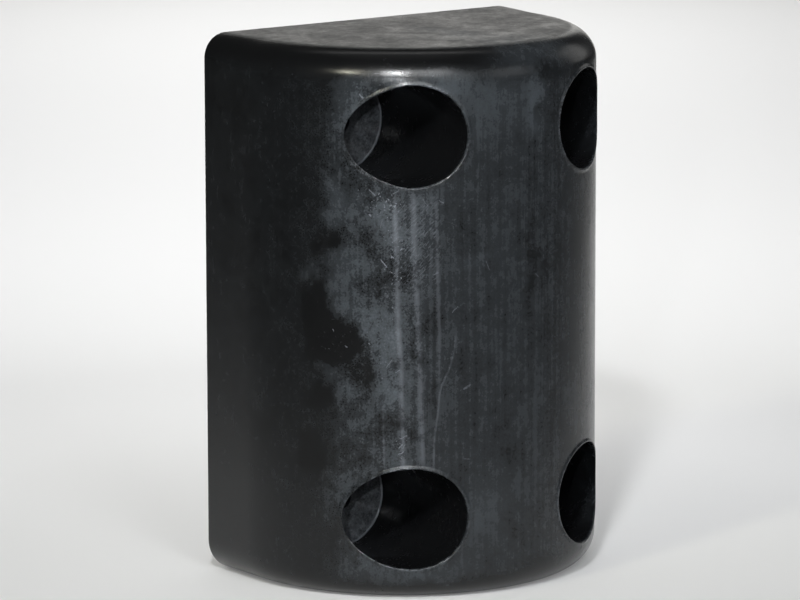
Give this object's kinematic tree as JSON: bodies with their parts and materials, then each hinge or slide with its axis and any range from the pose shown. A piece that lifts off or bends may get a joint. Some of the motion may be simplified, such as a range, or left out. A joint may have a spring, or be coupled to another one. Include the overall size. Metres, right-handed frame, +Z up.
{
  "type": "molded bumper",
  "caption": "Molded black rubber bumper block: flat mounting back, round nose, rolled top and bottom edges, and counterbored anchor-bolt holes that open through the nose.",
  "frame": {"origin": "centre of the flat back, which is the mounting face", "axes": "+Z up the height, +Y out of the flat back into the wall, nose towards -Y, +X across the width"},
  "size_m": [0.216, 0.147, 0.3048],
  "materials": {
    "black_rubber": "molded black rubber with a soft sheen and pale release bloom"
  },
  "bodies": {
    "root": {"bumper_body": "black_rubber"}
  },
  "joints": []
}
